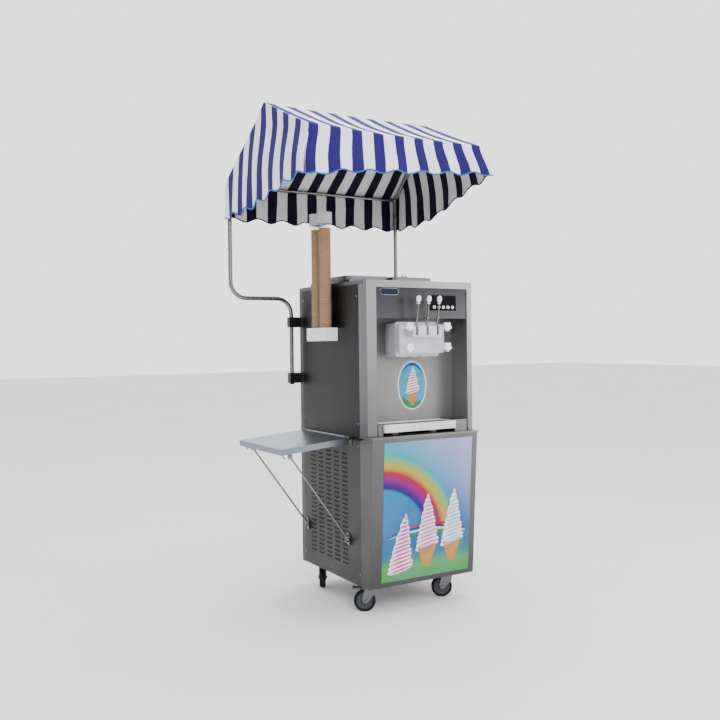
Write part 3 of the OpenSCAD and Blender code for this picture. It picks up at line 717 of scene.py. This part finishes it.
def swirl(place, foot, width, height, lean, name, tones_used, slot, coils=12, base_lift=0.3):
    """A soft serve peak as a low relief: tilted coils that narrow to a tip, each with a coloured streak."""
    x, z = foot
    normal = facing(place)
    bodies, streaks = Build(), Build()
    for i in range(coils):
        t = i / (coils - 1)
        half_w = width / 2 * ((1 - t) ** 0.75 * 0.92 + 0.09) * (1 + 0.03 * math.sin(i * 2.3))
        half_h = height / coils * 0.98
        centre = (x + lean * t ** 1.5 + width * 0.02 * math.sin(i * 2.1), z + height * (t * 0.92 + 0.04))
        lift = base_lift + 0.16 * i
        bodies.prism(blot(place, centre, (half_w, half_h), 0.2, lift, 40, 0.86), normal * 0.5 * MM)
        low = (centre[0] + half_w * 0.04, centre[1] - half_h * 0.34)
        streak = blot(place, low, (half_w * 0.86, half_h * 0.26), 0.2, lift + 0.5, 32, 1.0)
        streaks.prism(streak, normal * 0.1 * MM)
    bodies.piece(f"{name}_coils", tones_used[0], "cabinet", slot)
    streaks.piece(f"{name}_streaks", tones_used[1], "cabinet", slot)


def cone_of(place, foot, width, height, lift, name, material, slot):
    """A wafer cone below a swirl: a tapering outline."""
    x, z = foot
    build = Build()
    outline = [place(x - width / 2, z, lift), place(x + width / 2, z, lift),
               place(x + width * 0.16, z - height, lift), place(x - width * 0.16, z - height, lift)]
    normal = facing(place)
    build.prism(outline, normal * 0.5 * MM)
    build.piece(name, material, "cabinet", slot)


def print_ink(name, color, spread=0.18, scale=26):
    """Printed ink with soft tonal patches under a gloss film."""
    paint = Paint(name, Roughness=0.45, Coat_Weight=0.04, Coat_Roughness=0.2, IOR=1.25)
    clouds = paint.noise(scale, detail=4)
    dark, light = tones(color, spread)
    paint.set("Base Color", paint.ramp(clouds, (0.3, dark), (0.7, light)))
    paint.bump(paint.noise(700), 0.00002, 0.4)
    return paint.material


def picture_material():
    """The picture's ground: a sky from turquoise to lilac, a rainbow arch and a green field."""
    paint = Paint("picture_ground", Roughness=0.4, Coat_Weight=0.04, Coat_Roughness=0.2, IOR=1.25)
    low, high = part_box("graphic_panel")
    size = high - low
    split = paint.node("ShaderNodeSeparateXYZ", Vector=paint.coords.outputs["Object"])
    u = paint.span(split.outputs[0], 0.0, 1.0, low.x, high.x)
    v = paint.span(split.outputs[2], 0.0, 1.0, low.z, high.z)
    clouds = paint.noise(5, detail=5)
    sky = paint.ramp(v, (0.0, (0.03, 0.22, 0.03)), (0.10, (0.06, 0.27, 0.04)), (0.16, (0.01, 0.13, 0.16)),
                     (0.24, (0.002, 0.075, 0.24)), (0.50, (0.003, 0.11, 0.30)), (0.75, (0.008, 0.20, 0.36)),
                     (1.0, (0.03, 0.27, 0.38)))
    corner = paint.sum(paint.sum(u, 0.55, "MULTIPLY"), paint.sum(v, 0.75, "MULTIPLY"))
    lilac = paint.span(corner, 0.0, 1.0, 0.80, 1.25)
    ground = paint.mix(lilac, sky, (0.36, 0.28, 0.52))
    ground = paint.mix(paint.span(clouds, 0.0, 0.16), ground, (0.22, 0.42, 0.55))
    # distance from the rainbow's centre, as a share of the picture's width
    dx = paint.sum(u, 0.05, "ADD")
    dz = paint.sum(paint.sum(v, 0.24, "SUBTRACT"), size.z / size.x, "MULTIPLY")
    squared = paint.sum(paint.sum(dx, dx, "MULTIPLY"), paint.sum(dz, dz, "MULTIPLY"))
    radius = paint.sum(squared, 0.5, "POWER")
    bands = paint.ramp(radius, (0.57, (0.006, 0.008, 0.14)), (0.61, (0.05, 0.006, 0.16)),
                       (0.67, (0.22, 0.006, 0.13)), (0.72, (0.30, 0.012, 0.03)), (0.77, (0.42, 0.26, 0.04)),
                       (0.82, (0.22, 0.34, 0.06)), (0.88, (0.03, 0.28, 0.30)))
    inside = paint.sum(paint.span(radius, 0.0, 1.0, 0.55, 0.58),
                       paint.span(radius, 1.0, 0.0, 0.86, 0.93), "MULTIPLY")
    above = paint.span(v, 0.0, 1.0, 0.30, 0.36)
    paint.set("Base Color", paint.mix(paint.sum(inside, above, "MULTIPLY"), ground, bands))
    paint.bump(paint.noise(500), 0.00002, 0.4)
    return paint.material


assign(picture_material(), "graphic_panel")
ink_pink = print_ink("ink_pink", (0.50, 0.03, 0.20))
ink_rose = print_ink("ink_rose", (0.52, 0.12, 0.28))
ink_cream = print_ink("ink_cream", (0.70, 0.66, 0.74), 0.1)
ink_ice = print_ink("ink_ice", (0.30, 0.44, 0.62))
ink_wafer = print_ink("ink_wafer", (0.42, 0.20, 0.045))
ink_green = print_ink("ink_green", (0.02, 0.20, 0.05))
ink_blue = print_ink("ink_blue", (0.004, 0.03, 0.20))
ink_sky = print_ink("ink_sky", (0.04, 0.28, 0.45))
ink_red = print_ink("ink_red", (0.34, 0.01, 0.03))


def ribbon(place, centre, half, start, end, thick, lift, name, material, slot):
    """A curved printed band."""
    build = Build()
    cx, cz = centre
    steps = 28
    outer, inner = [], []
    for i in range(steps + 1):
        a = math.radians(start + (end - start) * i / steps)
        grow = thick * math.sin(math.pi * (0.12 + 0.88 * i / steps))
        outer.append(place(cx + half[0] * math.cos(a), cz + half[1] * math.sin(a), lift))
        inner.append(place(cx + (half[0] - grow) * math.cos(a), cz + (half[1] - grow) * math.sin(a), lift))
    normal = facing(place)
    for i in range(steps):
        build.prism([outer[i], outer[i + 1], inner[i + 1], inner[i]], normal * 0.4 * MM)
    build.piece(name, material, "cabinet", slot)


picture_low, picture_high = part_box("graphic_panel")


def spot(u, v):
    """A place on the picture, given as shares of its width and height."""
    return ((picture_low.x + (picture_high.x - picture_low.x) * u - CORNER.x) / MM,
            (picture_low.z + (picture_high.z - picture_low.z) * v) / MM)


def make_picture():
    """Four thin bands, three soft serve peaks and two wafer cones on the lower front."""
    middle, _ = spot(0.5, 0.5)
    bend = 700
    bands = ((ink_red, 0.395), (ink_blue, 0.375), (ink_cream, 0.355), (ink_green, 0.335))
    for index, (ink, v) in enumerate(bands):
        ribbon(on_front, (middle, spot(0, v)[1] - bend), (bend, bend), 73, 107, 9, 0.2,
               f"picture_streak_{index + 1}", ink, "graphic")
    for name, u, v, width in (("middle", 0.50, 0.235, 104), ("right", 0.79, 0.250, 106)):
        cone_of(on_front, spot(u, v), width, 96, 0.3, f"picture_{name}_cone", ink_wafer, "graphic")
    for name, foot, width, height, lean, ink in (("left", (0.20, 0.07), 140, 240, 22, ink_pink),
                                                 ("middle", (0.50, 0.21), 132, 232, -3, ink_rose),
                                                 ("right", (0.79, 0.22), 134, 236, 4, ink_ice)):
        swirl(on_front, spot(*foot), width, height, lean, f"picture_{name}_peak",
              (ink_cream, ink), "graphic", 14)


def make_sticker():
    """An oval sticker with a white border and one soft serve cone."""
    centre = (305, 966)
    normal = Vector((0, -1, 0))
    for name, half, lift, ink in (("border", (78, 110), 0.1, ink_cream), ("ground", (72, 104), 0.4, ink_sky)):
        build = Build()
        build.prism(blot(on_recess, centre, half, 0, lift, 56), normal * 0.3 * MM)
        build.piece(f"sticker_{name}", ink, "cabinet", "graphic")
    ribbon(on_recess, centre, (70, 102), 212, 328, 26, 0.8, "sticker_green_band", ink_green, "graphic")
    ribbon(on_recess, centre, (66, 98), 30, 150, 9, 0.8, "sticker_blue_band", ink_blue, "graphic")
    cone_of(on_recess, (305, 944), 60, 66, 1.0, "sticker_cone", ink_wafer, "graphic")
    swirl(on_recess, (305, 938), 82, 104, 4, "sticker_peak", (ink_cream, ink_rose), "graphic", 9, 1.3)


make_picture()
make_sticker()

# ---------------------------------------------------------------- small hardware

# places in millimetres from the cabinet's front left corner
LEVER_X = (221, 275, 329)
LEVER_TIP = (-63, 1344)
LEVER_ROOT = (-50, 1262)
SPOUT_Y, SPOUT_END = 58, 1101
BUTTON_X, BUTTON_PITCH, BUTTON_Z = 346, 24.5, 1310
BADGE_X, BADGE_Z = 116, 1374
LOUVRE_Y, LOUVRE_Z = 178, 190
LOUVRE_STEP_Y, LOUVRE_STEP_Z = 74, 20
LOUVRE_LENGTH, LOUVRE_RISE = 46, 7.2
PLEATS, PLEAT = 60, 6
TUBE_X, TUBE_Y = -37, (290.5, 363.5)
CUPS, CUP_PITCH, FIRST_CUP_Z = 38, 12.8, 1181
POST_Y, POST_FOOT = 634, 966
CLAMP_Z = (994, 1260)


def lever_line(i):
    """A lever's tip, the point of its stem at the bridge, and the direction from one to the other."""
    tip, root = at(LEVER_X[i], *LEVER_TIP), at(LEVER_X[i], *LEVER_ROOT)
    return tip, root, (tip - root).normalized()


def make_badge():
    """A blank enamel badge with a rounded outline and a raised bright rim."""
    enamel = print_ink("badge_enamel", (0.0025, 0.0028, 0.030), 0.1)
    for name, grow, high, material in (("badge_rim", 1.6, 1.2, chrome), ("badge_plate", 0, 1.8, enamel)):
        half_w, half_h = 46 + grow, 13 + grow
        outline = []
        for end in (1, -1):
            for k in range(17):
                a = math.radians(-90 + 180 * k / 16)
                x = BADGE_X + end * (half_w - half_h + half_h * math.cos(a))
                z = BADGE_Z + end * half_h * math.sin(a)
                outline.append(at(x, 4, z))
        build = Build()
        build.prism(outline, Vector((0, -high * MM, 0)))
        build.piece(name, material, "cabinet", "graphic")


def screw_heads():
    """Domed screw heads on the side panels, each with its cross slot drawn as a thin dark mark on the dome:
    painted shade in the slot.
    """
    places = [(578, 1360), (573, 811), (81, 1357), (77, 811), (79, 719), (75, 168), (318, 150), (576, 169)]
    build = Build()
    slot_shades = Build()
    for side, x in ((-1, 0), (1, BODY_W)):
        for y, z in places:
            build.lathe(at(x, y, z), (side, 0, 0),
                        [(5.2, -0.4), (5.2, 0.8), (4.6, 1.8), (3.0, 2.7), (1.2, 3.0)], 20)
            # the cross slot is a thin black plate on the dome: painted shade, not a cut
            for half in ((0.45, 2.6), (2.6, 0.45)):
                face = at(x + side * 2.9, y, z)
                corners = [face + Vector((0, sy * half[0] * MM, sz * half[1] * MM))
                           for sy, sz in ((-1, -1), (1, -1), (1, 1), (-1, 1))]
                slot_shades.prism(corners, Vector((side * 0.25 * MM, 0, 0)))
    build.piece("panel_screws", chrome, "cabinet", "chrome_wire", smooth=True)
    slot_shades.piece("panel_screw_slots", black_plastic, "cabinet", "black_plastic")


def louvre_hoods():
    """A pressed hood over each louvre slot of the lower sides."""
    for name, side, x in (("left", -1, 0), ("right", 1, BODY_W)):
        build = Build()
        for column in range(5):
            for row in range(25):
                y0 = LOUVRE_Y + column * LOUVRE_STEP_Y
                y1 = y0 + LOUVRE_LENGTH
                z0 = LOUVRE_Z + row * LOUVRE_STEP_Z
                steps = 6
                for i in range(steps):
                    a0, a1 = (math.radians(90 * k / steps) for k in (i, i + 1))
                    quad = []
                    for y, a in ((y0, a0), (y1, a0), (y1, a1), (y0, a1)):
                        z = z0 + LOUVRE_RISE - 2.2 * (1 - math.cos(a))
                        quad.append(at(x + side * 2.4 * math.sin(a), y, z))
                    build.prism(quad, Vector((0, 0, 0.8 * MM)))
        build.piece(f"louvre_hoods_{name}", lower_steel, "cabinet", "cabinet_grey")


def lever_knobs():
    """Egg-shaped white knobs over the levers' tips, with a collar."""
    for i in range(3):
        tip, _, axis = lever_line(i)
        profile = [(4.4, -24), (6.4, -23), (6.8, -21), (6.2, -19.5)]
        for k in range(15):
            a = math.pi * k / 14
            profile.append((max(0.4, 10.8 * math.sin(a) ** 0.9), -3 - 15.5 * math.cos(a)))
        build = Build()
        build.lathe(tip, axis, profile[4:], 28)
        build.lathe(tip, axis, profile[:4], 28)
        build.piece(f"lever_knob_{i + 1}", white_plastic, f"lever_{i + 1}", "white_plastic", smooth=True)


def lever_collars():
    """A steel collar where each stem meets its slot."""
    for i in range(3):
        _, root, axis = lever_line(i)
        build = Build()
        build.lathe(root, axis, [(4.2, -6), (6.0, -5), (6.2, 3), (4.2, 4)], 20)
        build.piece(f"lever_collar_{i + 1}", chrome, f"lever_{i + 1}", "chrome_wire", smooth=True)


def button_caps():
    """A dished face on each push button and a printed ring round it."""
    rings = Build()
    for i in range(5):
        x = BUTTON_X + i * BUTTON_PITCH
        build = Build()
        build.lathe(at(x, -2.5, BUTTON_Z), (0, -1, 0),
                    [(5.9, -0.5), (5.9, 0.2), (5.2, 0.8), (3.6, 0.5), (0.3, 0.3)], 24)
        build.piece(f"button_face_{i + 1}", white_plastic, f"button_{i + 1}", "white_plastic", smooth=True)
        for k in range(24):
            a0, a1 = (2 * math.pi * j / 24 for j in (k, k + 1))
            quad = [at(x + r * math.cos(a), -0.05, BUTTON_Z + r * math.sin(a))
                    for r, a in ((7.4, a0), (7.4, a1), (8.2, a1), (8.2, a0))]
            rings.prism(quad, Vector((0, -0.2 * MM, 0)))
    rings.piece("button_rings", print_ink("ring_print", (0.5, 0.5, 0.5)), "cabinet", "graphic")


def tray_grille():
    """A slotted steel insert in the drip tray: thin bars and three cross strips."""
    build = Build()
    x0, x1, y0, y1, z = 84, 446, -5, 103, 802
    bars = 30
    step = (x1 - x0) / bars
    for i in range(bars):
        xa = x0 + i * step + step * 0.25
        xb = xa + step * 0.5
        build.prism([at(xa, y0, z), at(xb, y0, z), at(xb, y1, z), at(xa, y1, z)], Vector((0, 0, 2 * MM)))
    for ya, yb in ((y0, y0 + 5), (49 - 3, 49 + 3), (y1 - 5, y1)):
        build.prism([at(x0, ya, z - 1), at(x1, ya, z - 1), at(x1, yb, z - 1), at(x0, yb, z - 1)],
                    Vector((0, 0, 2.4 * MM)))
    build.piece("tray_grille", recess_steel, "drip_tray", "stainless")


def stay_hooks():
    """Curled wire hooks at the stays' upper ends and small V links at their feet."""
    for name, y in (("front", 143), ("rear", 527)):
        top = at(-301, y, 692)
        hook = Build()
        curl = arc(top + Vector((-0.012, -0.004, 0.004)), 14, -40, 250, 22, (1, 0, 0), (0, 0, 1))
        hook.tube(curl, 2.8, 10)
        hook.piece(f"stay_hook_{name}", chrome, "struts", "chrome_wire", smooth=True)
        link = Build()
        link.tube([at(-20, y + 26, 292), at(-9, y + 27, 318), at(-3, y + 27, 330), at(-2, y + 30, 334),
                   at(-3, y + 33, 330), at(-9, y + 35, 318), at(-16, y + 36, 300)], 2.4, 10)
        link.piece(f"wall_link_{name}", chrome, "cabinet", "chrome_wire", smooth=True)


def wheel_hubs():
    """Grey hub discs with a raised rim, a rib and an axle nut on both sides of each wheel."""
    for corner in ("fl", "fr", "rl", "rr"):
        low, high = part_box(f"wheel_{corner}")
        centre = (low + high) / 2
        joint = next(j for j in frame["joints"] if j["name"] == f"roll_{corner}")
        axis = Vector(joint["axis"])
        build = Build()
        for side in (1, -1):
            build.lathe(centre, axis * side,
                        [(14, 8.6), (15.5, 9.4), (35.2, 9.4), (35.4, 11.6), (33.6, 12.2), (32.0, 10.4),
                         (24.2, 10.2), (23.2, 11.2), (21.6, 11.2), (20.6, 10.2), (16, 10.4)], 48)
        build.piece(f"wheel_hub_{corner}", hub_plastic, f"wheel_{corner}", "tyre", smooth=True)
        nuts = Build()
        for side in (1, -1):
            nuts.lathe(centre, axis * side,
                       [(7.5, 17.6), (7.5, 20.4), (6.4, 21.2), (3.4, 21.4), (3.0, 22.4), (0.5, 22.6)], 6)
        nuts.piece(f"axle_nut_{corner}", zinc, f"wheel_{corner}", "caster_steel")


def clamp_screws():
    """Hexagon clamp screws behind the post blocks, and a cap on each post's foot."""
    build = Build()
    caps = Build()
    for x in (-12, BODY_W - 14):
        for z in CLAMP_Z:
            build.lathe(at(x, POST_Y + 16, z), (0, 1, 0),
                        [(8.0, -1), (8.4, 0.6), (8.4, 4.4), (7.4, 5.4), (3.8, 5.6), (3.6, 2.4),
                         (0.5, 2.2)], 6)
    for x in (-38, 560):
        caps.lathe(at(x, POST_Y, POST_FOOT), (0, 0, 1), [(9.4, -2), (10.4, -1), (10.6, 6), (10.1, 6.4)], 28)
    build.piece("clamp_screws", zinc, "cabinet", "black_plastic")
    caps.piece("post_foot_caps", black_plastic, "cabinet", "black_plastic", smooth=True)


def head_details():
    """Star nozzles in the head's spouts and a moulded line round its front plate."""
    nozzles = Build()
    for x in LEVER_X:
        nozzles.lathe(at(x, SPOUT_Y, SPOUT_END), (0, 0, -1),
                      [(14.3, 0), (14.6, 1), (14.6, 6), (13.2, 7), (10.2, 7), (9.7, 1)], 36)
        for k in range(8):
            a = 2 * math.pi * k / 8
            out = Vector((math.cos(a), math.sin(a), 0))
            across = Vector((-out.y, out.x, 0)) * 2.2 * MM
            p = at(x + 8.4 * out.x, SPOUT_Y + 8.4 * out.y, SPOUT_END - 5)
            nozzles.prism([p + across, p - across, p - out * 3.6 * MM], Vector((0, 0, 8 * MM)))
    nozzles.piece("spout_stars", white_plastic, "cabinet", "white_plastic")
    line = Build()
    path = []
    for cx, cz, start in ((382, 1225, 0), (168, 1225, 90), (168, 1120, 180), (382, 1120, 270)):
        path += arc(at(cx, -6, cz), 6, start, start + 90, 6, (1, 0, 0), (0, 0, 1))
    line.tube(path + [path[0]], 0.8, 6)
    line.piece("head_moulded_line", head_plastic, "cabinet", "white_plastic", smooth=True)


def filter_pads():
    """Pleated dark filter pads behind the louvres."""
    for name, side, x in (("left", 1, 6), ("right", -1, BODY_W - 6)):
        front, back = [], []
        for k in range(PLEATS + 1):
            front.append(at(x + side * (5 if k % 2 else 0), LOUVRE_Y - 6 + k * PLEAT, LOUVRE_Z - 6))
            back.append(at(x + side * (6.5 if k % 2 else 1.5), LOUVRE_Y - 6 + k * PLEAT, LOUVRE_Z - 6))
        build = Build()
        for k in range(PLEATS):
            build.prism([front[k], front[k + 1], back[k + 1], back[k]], Vector((0, 0, 0.52)))
        build.piece(f"filter_pad_{name}", trim_paint, "cabinet", "trim_dark")


def lid_latch():
    """A small clear catch at the front of the right lid."""
    build = Build()
    build.tube(arc(at(346, 239, 1459), 13, 0, 180, 14, (1, 0, 0), (0, 0, 1)), 2.6, 10)
    build.prism([at(329, 240, 1456), at(363, 240, 1456), at(363, 232, 1460), at(329, 232, 1460)],
                Vector((0, 0, 3 * MM)))
    build.piece("lid_latch", NODES["cone_cap"].data.materials[0], "lid_right", "clear_plastic")


def lid_rims():
    """A bead round each hopper lid."""
    for name, x0 in (("left", 55), ("right", BODY_W - 255)):
        build = Build()
        xa, xb, ya, yb, z = x0 - 10, x0 + 210, 240, 520, 1452
        r = 24
        path = []
        corners = ((xb - r, yb - r, 0), (xa + r, yb - r, 90), (xa + r, ya + r, 180), (xb - r, ya + r, 270))
        for cx, cy, start in corners:
            path += arc(at(cx, cy, z), r, start, start + 90, 8, (1, 0, 0), (0, 1, 0))
        path.append(path[0])
        build.tube(path, 2.2, 8)
        build.piece(f"lid_bead_{name}", deck_steel, f"lid_{name}", "stainless", smooth=True)


def wafer_rims():
    """The flared rims of the nested wafer cups, stacked up each tube."""
    build = Build()
    for y in TUBE_Y:
        for i in range(CUPS):
            build.lathe(at(TUBE_X, y, FIRST_CUP_Z + i * CUP_PITCH), (0, 0, 1),
                        [(23.0, 5.6), (27.0, 8.6), (27.5, 9.8), (27.3, 11.6), (26.0, 12.2), (23.4, 10.6)], 28)
    build.piece("wafer_rims", NODES["wafer_stack"].data.materials[0], "cabinet", "wafer", smooth=True)


filter_pads()
lid_latch()
make_badge()
screw_heads()
louvre_hoods()
lever_knobs()
lever_collars()
button_caps()
tray_grille()
stay_hooks()
wheel_hubs()
clamp_screws()
head_details()
lid_rims()
wafer_rims()

# ---------------------------------------------------------------- stage and light


def make_stage():
    """A pale flat floor."""
    paint = Paint("pale_floor", Roughness=0.85)
    mottle = paint.noise(1.5, detail=2)
    paint.set("Base Color", paint.ramp(mottle, (0.3, (0.86, 0.86, 0.86)), (0.7, (0.90, 0.90, 0.90))))
    size = 30.0
    mesh = bpy.data.meshes.new("floor")
    corners = [(-size, -size, 0), (size, -size, 0), (size, size, 0), (-size, size, 0)]
    mesh.from_pydata(corners, [], [[0, 1, 2, 3]])
    mesh.materials.append(paint.material)
    floor = put("floor", mesh)


def area_light(name, place, aim, size, power, color=(1, 1, 1)):
    light = bpy.data.lights.new(name, "AREA")
    light.shape = "RECTANGLE"
    light.size, light.size_y = size
    light.energy = power
    light.color = color
    lamp = put(name, light)
    lamp.location = place
    lamp.rotation_euler = (Vector(aim) - Vector(place)).to_track_quat("-Z", "Y").to_euler()


def make_light():
    """A bright world that darkens to one side, and three soft lamps."""
    world = bpy.data.worlds.new("studio")
    world.use_nodes = True
    tree = world.node_tree
    sky = tree.nodes["Background"]
    sky.inputs["Strength"].default_value = 2.2
    # brightest behind the machine and darker round to its left, which shades the steel
    coords = tree.nodes.new("ShaderNodeTexCoord")
    turn = tree.nodes.new("ShaderNodeVectorMath")
    turn.operation = "DOT_PRODUCT"
    turn.inputs[1].default_value = (0.85, 0.45, 0.25)
    tree.links.new(coords.outputs["Generated"], turn.inputs[0])
    tone = tree.nodes.new("ShaderNodeValToRGB")
    tone.color_ramp.elements[0].position = 0.0
    tone.color_ramp.elements[0].color = (0.55, 0.56, 0.58, 1)
    tone.color_ramp.elements[1].position = 0.6
    tone.color_ramp.elements[1].color = (1, 1, 1, 1)
    tree.links.new(turn.outputs["Value"], tone.inputs[0])
    tree.links.new(tone.outputs[0], sky.inputs["Color"])
    bpy.context.scene.world = world
    area_light("key", (-1.5, -4.2, 3.4), (0, 0, 1.0), (2.2, 2.2), 120)
    area_light("front_fill", (2.6, -3.4, 1.8), (0, 0, 0.9), (1.6, 2.4), 45)
    area_light("top", (0.2, 0.4, 5.0), (0, 0, 1.2), (3.0, 3.0), 110)


make_stage()
make_light()
